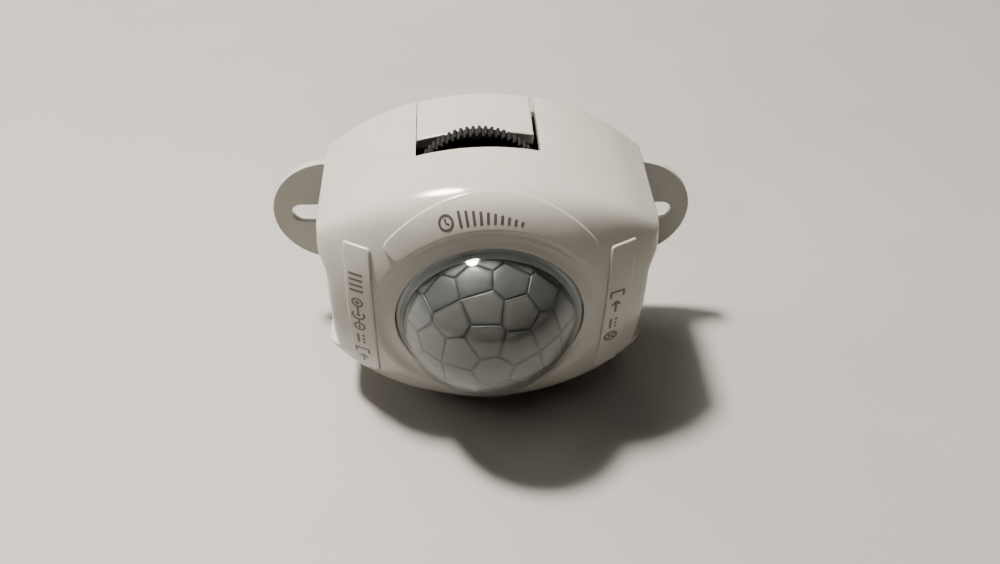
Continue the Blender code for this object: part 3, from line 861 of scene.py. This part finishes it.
CELL_LOOKS = (("lens_cool", (0.1, 0.103, 0.1), (0.085, 0.09, 0.09)),     # name, colour below, colour above
              ("lens_deep", (0.16, 0.138, 0.114), (0.13, 0.12, 0.108)),
              ("lens_warm", (0.155, 0.133, 0.108), (0.12, 0.108, 0.093)),
              ("lens_pale", (0.16, 0.148, 0.13), (0.11, 0.12, 0.123)),
              ("lens_edge_shade", (0.14, 0.121, 0.1), (0.08, 0.083, 0.081)),
              ("lens_groove_shade", (0.13, 0.113, 0.094), (0.05, 0.053, 0.053)))


def dome_profile(radius, steps=40):
    """Arc from the apex to the dome's base."""
    limit = math.acos((DOME_CENTRE - DOME_BASE) / radius)
    return [(radius * math.sin(limit * index / steps), DOME_CENTRE - radius * math.cos(limit * index / steps))
            for index in range(steps + 1)]


def lens_skin():
    """Smooth clear dome, and the milky neck and flange that carry it."""
    inside = dome_profile(DOME_SPHERE - DOME_WALL)
    skin = turned("skin", dome_profile(DOME_SPHERE) + inside[::-1], steps=128)
    finish(skin, "lens_dome", clear_lens("lens_outer"), nodes=("fresnel_lens",))
    front = DOME_BASE + 0.02
    band = [(math.sqrt(CELL_LIMIT ** 2 - (along - DOME_CENTRE) ** 2), along)
            for along in np.linspace(DOME_BASE - BAND_HEIGHT, DOME_BASE - 0.05, 8)]
    rear = LENS_HIGH[1]
    collar = [(band[0][0] - 0.9, band[0][1] + 0.3), *band, (band[-1][0], front), (NECK_RADIUS - 0.1, front),
              (NECK_RADIUS, front + 0.1), (NECK_RADIUS, rear - FLANGE_THICKNESS),
              (FLANGE_RADIUS, rear - FLANGE_THICKNESS), (FLANGE_RADIUS, rear), (CELL_DISTANCE - 0.5, rear)]
    # Painted light: the collar runs from a dark bottom to a pale top, for the light that the real milky
    # collar carries into its shaded recess.
    look = milky_lens("lens_rim", (0.3, 0.28, 0.25), (0.64, 0.67, 0.69))
    finish(tube("collar", collar), "lens_collar", look)


def cell_directions():
    yield Vector((0, -1, 0))
    rings = [(23.7, INNER_CELLS)]
    rings += [(angle, [first + 360 * index / count for index in range(count)])
              for angle, count, first in OUTER_CELLS]
    for angle, turns in rings:
        tilt = math.radians(angle)
        for turn in turns:
            across, rise = math.cos(math.radians(turn)), math.sin(math.radians(turn))
            yield Vector((math.sin(tilt) * across, -math.cos(tilt), math.sin(tilt) * rise))


def slice_off(body, point, normal):
    """Cut away what lies beyond a plane and close the cut."""
    parts = body.verts[:] + body.edges[:] + body.faces[:]
    cut = bmesh.ops.bisect_plane(body, geom=parts, dist=1e-5, plane_co=point, plane_no=normal,
                                 clear_outer=True)
    edges = [item for item in cut["geom_cut"] if isinstance(item, bmesh.types.BMEdge)]
    if edges:
        bmesh.ops.holes_fill(body, edges=edges)


def cell_tone(direction):
    """Which painted tone a cell takes: lit and shaded tones for the light each cell gathers from its side of
    the room.
    """
    tilt = math.degrees(math.acos(-direction.y))
    if tilt > 70:
        return PALE if direction.z > 0 else WARM
    if tilt > 50 and direction.z > 0.2:
        return COOL if direction.z > 0.5 else PALE
    return DEEP if direction.z > 0.25 else WARM


def inset(body, faces, width, rise, tone=None):
    """Shrink the faces, lift them, and give the ring left around each of them a tone."""
    ring = bmesh.ops.inset_individual(body, faces=faces, thickness=width, depth=rise, use_even_offset=True)
    if tone is not None:
        for face in ring["faces"]:
            face.material_index = tone


def lens_cells():
    """Inner face of the lens: many-sided cells, each slightly domed, with a groove between them."""
    body = bmesh.new()
    bmesh.ops.create_cube(body, size=4 * CELL_DISTANCE)
    for direction in cell_directions():
        slice_off(body, direction * CELL_DISTANCE, direction)
    slice_off(body, Vector((0, DOME_BASE - DOME_CENTRE + 0.6, 0)), Vector((0, 1, 0)))
    bmesh.ops.remove_doubles(body, verts=body.verts, dist=SHORT_EDGE)
    cells = [face for face in body.faces if face.normal.y < 0.5]
    shared = body.verts[:]
    for cell in cells:
        cell.material_index = cell_tone(cell.normal)
    # The ring left around each cell takes the groove look: painted shade in the creases between the cells.
    inset(body, cells, GROOVE_WIDTH, 0.0, GROOVE)
    for vert in shared:
        vert.co *= 1 - CELL_GROOVE / vert.co.length
    # A second ring along each cell's edge takes the edge look: more painted shade at the cell borders.
    inset(body, cells, 0.2, 0.06, EDGE)
    inset(body, cells, 0.25, 0.06)
    inset(body, cells, 0.3, 0.05)
    bmesh.ops.poke(body, faces=cells, offset=0.04)
    for vert in body.verts:
        vert.co *= min(1.0, CELL_LIMIT / max(vert.co.length, 1.0))
    body.verts.index_update()
    points = [(vert.co.x, vert.co.y + DOME_CENTRE, vert.co.z) for vert in body.verts]
    faces = [[vert.index for vert in face.verts] for face in body.faces]
    tones = [face.material_index for face in body.faces]
    body.free()
    piece = build_mesh("cells", points, faces)
    for name, low, high in CELL_LOOKS:
        piece.data.materials.append(milky_lens(name, low, high))
    piece.data.polygons.foreach_set("material_index", tones)
    round_edges(piece, 0.05, 2, 25)
    finish(piece, "lens_cells", None, smooth=60)


# ---- time wheel

WHEEL_TEETH = 64
WHEEL_TIP = (WHEEL_HIGH[2] - WHEEL_LOW[2]) / 2
WHEEL_ROOT = WHEEL_TIP - 0.42
WHEEL_BORE = 1.6

# Stations of a side, from the bore to the rim: depth below the rim, and distance in from the side.
WHEEL_SIDE = ((3.0, 0.25), (1.7, 0.25), (1.5, 0.0), (0.3, 0.0), (0.12, 0.06), (0.0, 0.22))


def tooth_outline(depth):
    """Knurled rim: each tooth has a flat tip, two flanks and a root."""
    pitch = 2 * math.pi / WHEEL_TEETH
    points = []
    for tooth in range(WHEEL_TEETH):
        for share, radius in ((-0.36, WHEEL_ROOT), (-0.2, WHEEL_TIP - 0.05), (-0.1, WHEEL_TIP),
                              (0.1, WHEEL_TIP), (0.2, WHEEL_TIP - 0.05), (0.36, WHEEL_ROOT)):
            turn = (tooth + share) * pitch
            points.append(((radius - depth) * math.sin(turn), (radius - depth) * math.cos(turn)))
    return points


def time_wheel():
    half = (WHEEL_HIGH[1] - WHEEL_LOW[1]) / 2
    rings = []
    profile = [(depth, back - half) for depth, back in WHEEL_SIDE]
    profile += [(depth, half - back) for depth, back in WHEEL_SIDE[::-1]]
    for depth, along in profile:
        blend = min(1.0, max(0.0, (depth - 0.3) / 1.2))
        ring = []
        for x, z in tooth_outline(depth):
            length = math.hypot(x, z)
            even = WHEEL_TIP - 0.25 - depth
            share = (length + (even - length) * blend) / length
            ring.append((x * share, along, z * share))
        rings.append(ring)
    wheel = loft("wheel", rings)
    combine(wheel, "DIFFERENCE", rod("bore", WHEEL_BORE, -3, 3, 40))
    pointer = block("pointer", (-0.35, half - 0.6, 2.6), (0.35, half - 0.05, 5.2))
    combine(wheel, "UNION", round_edges(pointer, 0.06, 2))
    wheel.data.transform(Matrix.Translation(Vector(WHEEL_CENTRE) * MM))
    look = black_plastic("wheel_black")
    finish(wheel, "knurled_wheel", look, "time_wheel", ("time_wheel",), 30)


# ---- power sockets

JACK_BORE = 3.2
JACK_BORE_DEPTH = 9.8
JACK_CHAMFER = 0.35
SPRING_GAP_HALF = 1.6


def power_sockets():
    look = black_plastic("socket_black")
    brass = tinned("contact_brass")
    for side, sign in (("input", -1), ("output", 1)):
        node = side + "_jack_body"
        low, high = box(node)
        pin_low, pin_high = box(side + "_jack_pin")
        axis = ((pin_low[1] + pin_high[1]) / 2, 0.0)
        mouth = max(abs(low[0]), abs(high[0]))
        body = round_edges(block("body", low, high), 0.25)
        bottom = mouth - JACK_BORE_DEPTH
        profile = [(0, sign * bottom), (JACK_BORE, sign * bottom), (JACK_BORE, sign * (mouth - 0.3)),
                   (JACK_BORE + JACK_CHAMFER, sign * mouth), (JACK_BORE + JACK_CHAMFER, sign * (mouth + 1)),
                   (0, sign * (mouth + 1))]
        combine(body, "DIFFERENCE", turned("bore", profile, "X", 64, axis))
        gap_low, gap_high = sorted((sign * (bottom - 1.5), sign * (mouth - 2.6)))
        spring_gap = block("gap", (gap_low, low[1] - 1, -SPRING_GAP_HALF),
                           (gap_high, axis[0] - 1.7, SPRING_GAP_HALF))
        combine(body, "DIFFERENCE", spring_gap)
        flatten(finish(body, side + "_socket", look, nodes=(node,)))
        start = min(abs(pin_low[0]), abs(pin_high[0]))
        tip = max(abs(pin_low[0]), abs(pin_high[0]))
        radius = (pin_high[2] - pin_low[2]) / 2
        profile = [(0, start), (radius, start), (radius, tip - 0.9), (radius * 0.96, tip - 0.6),
                   (radius * 0.8, tip - 0.28), (radius * 0.45, tip - 0.06), (0, tip)]
        pin = turned("pin", [(r, sign * along) for r, along in profile], "X", 40, axis)
        finish(pin, side + "_pin", brass, nodes=(side + "_jack_pin",))


# ---- materials

class Look:
    """A material around one Principled shader; its helpers return the socket that carries their value."""

    def __init__(self, name, colour, roughness, metallic=0.0):
        self.material = bpy.data.materials.new(name)
        self.material.use_nodes = True
        self.nodes = self.material.node_tree.nodes
        self.shader = self.nodes["Principled BSDF"]
        self.fill(self.shader, {"Base Color": (*colour, 1.0), "Roughness": roughness, "Metallic": metallic})

    def fill(self, node, inputs):
        """Give a node's inputs their values, or links where the value is a socket."""
        for name, value in inputs.items():
            if isinstance(value, bpy.types.NodeSocket):
                self.material.node_tree.links.new(value, node.inputs[name])
            else:
                node.inputs[name].default_value = value

    def add(self, kind, inputs):
        node = self.nodes.new("ShaderNode" + kind)
        self.fill(node, inputs)
        return node

    def place(self):
        return self.nodes.new("ShaderNodeTexCoord").outputs["Object"]

    def noise(self, size, detail=3.0):
        """Noise whose features are about a size in millimetres, fixed to the object."""
        return self.add("TexNoise", {"Scale": 1 / (size * MM), "Detail": detail, "Roughness": 0.55,
                                     "Vector": self.place()}).outputs["Fac"]

    def spread(self, value, low, high, start=0.3, end=0.7):
        """Map a value to a range."""
        return self.add("MapRange", {"From Min": start, "From Max": end, "To Min": low, "To Max": high,
                                     "Value": value}).outputs["Result"]

    def tint(self, value, dark, light, start=0.35, end=0.65):
        """Map a value to a colour."""
        ramp = self.add("ValToRGB", {"Fac": value})
        ramp.color_ramp.elements[0].position = start
        ramp.color_ramp.elements[0].color = (*dark, 1.0)
        ramp.color_ramp.elements[1].position = end
        ramp.color_ramp.elements[1].color = (*light, 1.0)
        return ramp.outputs["Color"]

    def cover(self, colour, gloss, grain, height, strength, detail=2.0):
        """Colour, roughness and a fine bump, whose grain and height are in millimetres."""
        bump = self.add("Bump", {"Strength": strength, "Distance": height * MM,
                                 "Height": self.noise(grain, detail)})
        self.fill(self.shader, {"Base Color": colour, "Roughness": gloss, "Normal": bump.outputs["Normal"]})


def moulded(name, dark, light, roughness, grain, height, specular=0.5):
    """Moulded plastic: cloudy colour, uneven gloss and a fine skin."""
    look = Look(name, light, roughness)
    look.fill(look.shader, {"Specular IOR Level": specular})
    gloss = look.spread(look.noise(2.2, 5.0), roughness * 0.75, roughness * 1.35)
    look.cover(look.tint(look.noise(9.0), dark, light), gloss, grain, height, 0.5)
    return look.material


def white_plastic(name):
    return moulded(name, (0.42, 0.397, 0.355), (0.45, 0.427, 0.385), 0.16, 0.9, 0.004, 0.55)


def black_plastic(name):
    return moulded(name, (0.008, 0.008, 0.007), (0.013, 0.012, 0.011), 0.6, 0.25, 0.008, 0.2)


def metal(name, dark, light, stain, smear, smear_detail, dullest, grain):
    """Worked metal; stain, smear and grain are the sizes of its colour, gloss and bump features."""
    look = Look(name, light, 0.3, 1.0)
    gloss = look.spread(look.noise(smear, smear_detail), 0.2, dullest)
    look.cover(look.tint(look.noise(stain), dark, light), gloss, grain, 0.003, 0.4)
    return look.material


def steel(name):
    return metal(name, (0.5, 0.49, 0.46), (0.66, 0.66, 0.64), 1.5, 0.6, 5.0, 0.42, 0.12)


def tinned(name):
    return metal(name, (0.6, 0.52, 0.38), (0.74, 0.69, 0.56), 1.2, 0.8, 4.0, 0.4, 0.15)


def clear_lens(name):
    """Thin clear glossy skin: it mirrors more as it turns edge-on, and shows the cells behind it."""
    look = Look(name, (0.95, 0.96, 0.97), 0.05, 1.0)
    colour = look.tint(look.noise(4.0), (0.9, 0.91, 0.92), (0.97, 0.97, 0.97))
    look.cover(colour, look.spread(look.noise(1.6, 4.0), 0.04, 0.1), 3.0, 0.003, 0.3)
    seen_through = look.add("BsdfTransparent", {"Color": (0.93, 0.94, 0.94, 1.0)})
    edge_on = look.add("LayerWeight", {"Blend": 0.5})
    steep = look.nodes.new("ShaderNodeMath")
    steep.operation = "POWER"
    look.fill(steep, {0: edge_on.outputs["Facing"], 1: 4.0})
    share = look.spread(steep.outputs["Value"], 0.04, 0.3, 0.0, 1.0)
    both = look.add("MixShader", {0: share, 1: seen_through.outputs["BSDF"], 2: look.shader.outputs["BSDF"]})
    look.fill(look.nodes["Material Output"], {"Surface": both.outputs["Shader"]})
    return look.material


def milky_lens(name, low, high):
    """Dull milky plastic with a painted light gradient from one colour at the bottom of the lens to another
    at the top.
    """
    look = Look(name, (0.3, 0.31, 0.31), 0.45)
    look.fill(look.shader, {"Subsurface Weight": 0.6, "Subsurface Radius": (1.0, 1.0, 1.0),
                            "Subsurface Scale": 2.0 * MM})
    # Painted light: the bottom-to-top gradient stands in for light that the real milky plastic carries
    # through itself.
    height = look.add("SeparateXYZ", {"Vector": look.place()}).outputs["Z"]
    painted_light_grade = look.tint(look.spread(height, 0.0, 1.0, -8.0 * MM, 8.0 * MM), low, high, 0.25, 0.85)
    cloud = look.tint(look.noise(5.0), (0.86, 0.86, 0.86), (1.0, 1.0, 1.0))
    blend = look.nodes.new("ShaderNodeMix")
    blend.data_type = "RGBA"
    blend.blend_type = "MULTIPLY"
    look.fill(blend, {"Factor": 1.0, "A": painted_light_grade, "B": cloud})
    gloss = look.spread(look.noise(1.5, 4.0), 0.35, 0.55)
    look.cover(blend.outputs["Result"], gloss, 0.4, 0.004, 0.3)
    return look.material


def paint_inner_nodes():
    """Give every CAD node that is still shown a worked material."""
    looks = {
        "black_nylon": black_plastic("nylon_black"),
        "black_epoxy": moulded("epoxy_black", (0.02, 0.02, 0.02), (0.035, 0.034, 0.033), 0.55, 0.15, 0.01),
        "plated_steel": steel("plated_steel"),
        "tinned_brass": tinned("spring_brass"),
        "board": moulded("board_green", (0.012, 0.09, 0.035), (0.02, 0.13, 0.05), 0.3, 0.5, 0.006),
        "ceramic": moulded("ceramic_tan", (0.36, 0.26, 0.16), (0.5, 0.38, 0.25), 0.5, 0.2, 0.006),
        "filter_glass": moulded("filter_dark", (0.02, 0.02, 0.03), (0.04, 0.035, 0.05), 0.12, 2.0, 0.002),
    }
    slots = {row["node"]: row["material_slot"] for row in frame["record"]["subparts"]}
    for node, piece in frame["nodes"].items():
        if not piece.hide_render:
            piece.data.materials.clear()
            piece.data.materials.append(looks[slots[node]])


# ---- studio

CAMERA_PLACE = (-5.449, -101.794, 83.304)
CAMERA_DIP = 44.04
CAMERA_YAW = 4.73
CAMERA_ROLL = 2.53
CAMERA_LENS = 32.2
FLOOR_HALF = 900.0
KEY_DIRECTION = (-0.37, 0.17, 1.0)
SHINE_DIRECTION = (-0.34, 0.17, 1.0)
LAMP_COLOUR = (1.0, 0.955, 0.885)
ROOM_COLOUR = (1.0, 0.88, 0.76, 1.0)
ROOM_STRENGTH = 0.024
SOFT_LAMPS = (("ceiling_soft", (-0.3, 0.5, 1.0), 700, 420, 2.0),      # name, direction, distance, size, power
              ("overhead_soft", (0.1, -0.1, 1.0), 700, 420, 0.6),
              ("left_window", (-1.0, 0.15, 0.5), 800, 350, 2.0))


def floor():
    """Pale table top that the sensor stands on."""
    steps = 24
    line = np.linspace(-FLOOR_HALF, FLOOR_HALF, steps)
    points = [(x, y, HOUSING_LOW[2]) for y in line for x in line]
    faces = [(row * steps + column, row * steps + column + 1, (row + 1) * steps + column + 1,
              (row + 1) * steps + column) for row in range(steps - 1) for column in range(steps - 1)]
    piece = build_mesh("table_top", points, faces)
    look = Look("table_pale", (0.33, 0.32, 0.3), 0.6)
    colour = look.tint(look.noise(60.0), (0.31, 0.3, 0.28), (0.335, 0.325, 0.305))
    look.cover(colour, 0.6, 1.5, 0.02, 0.2, 3.0)
    piece.data.materials.append(look.material)


def lamp(name, direction, distance, size, power):
    """Round area lamp that shines at the sensor."""
    light = bpy.data.lights.new(name, "AREA")
    light.shape = "DISK"
    light.size = size * MM
    light.energy = power
    light.color = LAMP_COLOUR
    made = bpy.data.objects.new(name, light)
    bpy.context.scene.collection.objects.link(made)
    aim = Vector(direction).normalized()
    made.location = aim * distance * MM
    made.rotation_mode = "QUATERNION"
    made.rotation_quaternion = aim.to_track_quat("Z", "Y")
    return made


def studio():
    world = bpy.data.worlds.new("studio")
    world.use_nodes = True
    world.node_tree.nodes["Background"].inputs["Color"].default_value = ROOM_COLOUR
    world.node_tree.nodes["Background"].inputs["Strength"].default_value = ROOM_STRENGTH
    bpy.context.scene.world = world
    key = lamp("ceiling_lamp", KEY_DIRECTION, 480, 62, 7.8)
    key.visible_glossy = False
    shine = lamp("ceiling_shine", SHINE_DIRECTION, 480, 110, 9.0)
    shine.visible_diffuse = False
    for setting in SOFT_LAMPS:
        soft = lamp(*setting)
        soft.visible_glossy = False
        soft.visible_transmission = False


def camera():
    data = bpy.data.cameras.new("camera")
    data.lens = CAMERA_LENS
    data.sensor_width = 36.0
    data.clip_start = 0.005
    data.clip_end = 20.0
    dip, yaw, roll = (math.radians(value) for value in (CAMERA_DIP, CAMERA_YAW, CAMERA_ROLL))
    forward = Vector((math.sin(yaw) * math.cos(dip), math.cos(yaw) * math.cos(dip), -math.sin(dip)))
    right = Vector((math.cos(yaw), -math.sin(yaw), 0))
    up = right.cross(forward)
    level_right = right * math.cos(roll) + up * math.sin(roll)
    level_up = up * math.cos(roll) - right * math.sin(roll)
    matrix = Matrix((level_right, level_up, -forward)).transposed().to_4x4()
    matrix.translation = Vector(CAMERA_PLACE) * MM
    made = bpy.data.objects.new("camera", data)
    bpy.context.scene.collection.objects.link(made)
    made.matrix_world = matrix
    bpy.context.scene.camera = made


camera()
housing()
labels()
printing()
rear_cover()
screws()
lens_skin()
lens_cells()
time_wheel()
power_sockets()
paint_inner_nodes()
floor()
studio()
